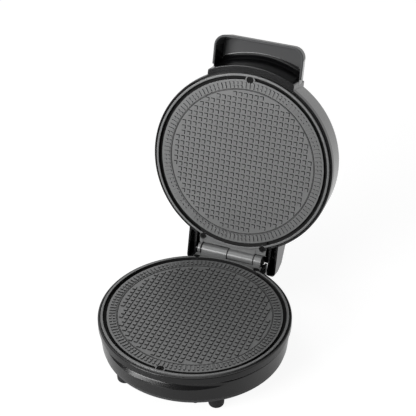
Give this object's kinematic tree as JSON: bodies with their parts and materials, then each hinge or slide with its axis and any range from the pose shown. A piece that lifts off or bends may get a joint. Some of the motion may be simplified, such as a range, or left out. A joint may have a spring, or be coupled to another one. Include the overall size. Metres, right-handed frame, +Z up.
{
  "type": "waffle_cone_maker",
  "caption": "Waffle cone maker with two round waffle-patterned plates in black drum housings, hinged at the back and shown open, with a scoop handle on the lid.",
  "frame": {"origin": "on the table under the middle of the open maker, midway between the base's front and the open lid's back", "axes": "+Z up, +Y from the base towards the hinge and the open lid, +X to the right seen from the front"},
  "size_m": [0.202, 0.3054, 0.2775],
  "materials": {
    "black_plastic": "moulded black plastic with a soft gloss",
    "non_stick_plate": "cast aluminium under a dark grey satin non-stick coating",
    "blackened_steel": "blackened steel screws, hinge pin and clip",
    "steel": "plain steel",
    "aluminium_sheet": "bright pressed aluminium sheet",
    "rubber": "matt black rubber",
    "white_plastic": "heat-resistant off-white moulding"
  },
  "bodies": {
    "base": {"base_housing": "black_plastic", "bottom_cover": "black_plastic", "cover_screws": "blackened_steel", "feet": "rubber", "foot_screws": "steel", "cord_gland": "rubber", "lower_plate": "non_stick_plate", "lower_plate_screws": "blackened_steel", "lower_element": "steel", "lower_reflector": "aluminium_sheet", "lower_reflector_screws": "steel", "thermostat": "white_plastic", "thermal_fuse": "white_plastic", "terminal_block": "white_plastic", "hinge_pin": "blackened_steel", "pin_clip": "blackened_steel"},
    "lid": {"lid_housing": "black_plastic", "handle": "black_plastic", "handle_screws": "steel", "upper_plate": "non_stick_plate", "upper_plate_screws": "blackened_steel", "upper_element": "steel", "upper_reflector": "aluminium_sheet", "upper_reflector_screws": "steel", "upper_thermostat": "white_plastic"}
  },
  "joints": [
    {"name": "lid_hinge", "type": "hinge", "parent": "base", "child": "lid", "pos_m": [0, 0.05528, 0.0524], "axis": [1, 0, 0], "range_deg": [0, 104.5]}
  ]
}
